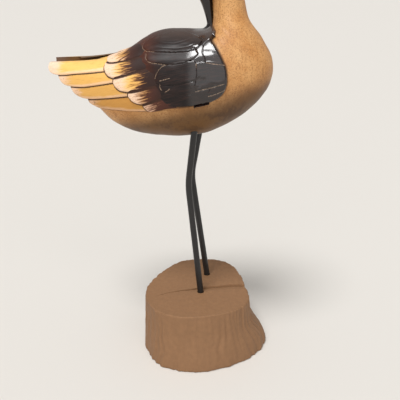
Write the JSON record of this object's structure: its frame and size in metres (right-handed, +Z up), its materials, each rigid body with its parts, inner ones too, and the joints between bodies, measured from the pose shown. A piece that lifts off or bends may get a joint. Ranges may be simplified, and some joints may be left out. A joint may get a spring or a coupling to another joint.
{
  "type": "carved wooden shorebird figure",
  "caption": "Carved and painted wooden wading bird preening its back, standing on bent metal rod legs in a sawn slice of log.",
  "frame": {"origin": "middle of the log's flat underside, on the surface that the figure stands on", "axes": "+X the way the bird's breast faces, +Y to the bird's left, +Z up"},
  "size_m": [0.1646, 0.1025, 0.2937],
  "materials": {
    "painted_wood": "antiqued paint under satin varnish: golden tan body, near-black wings, yellow and cream feather tips",
    "black_rod": "satin black paint",
    "log_wood": "sawn pale top, stripped fibrous brown side, dull oil finish"
  },
  "bodies": {
    "root": {"bird": "painted_wood", "right_leg": "black_rod", "left_leg": "black_rod", "log_base": "log_wood"}
  },
  "joints": []
}
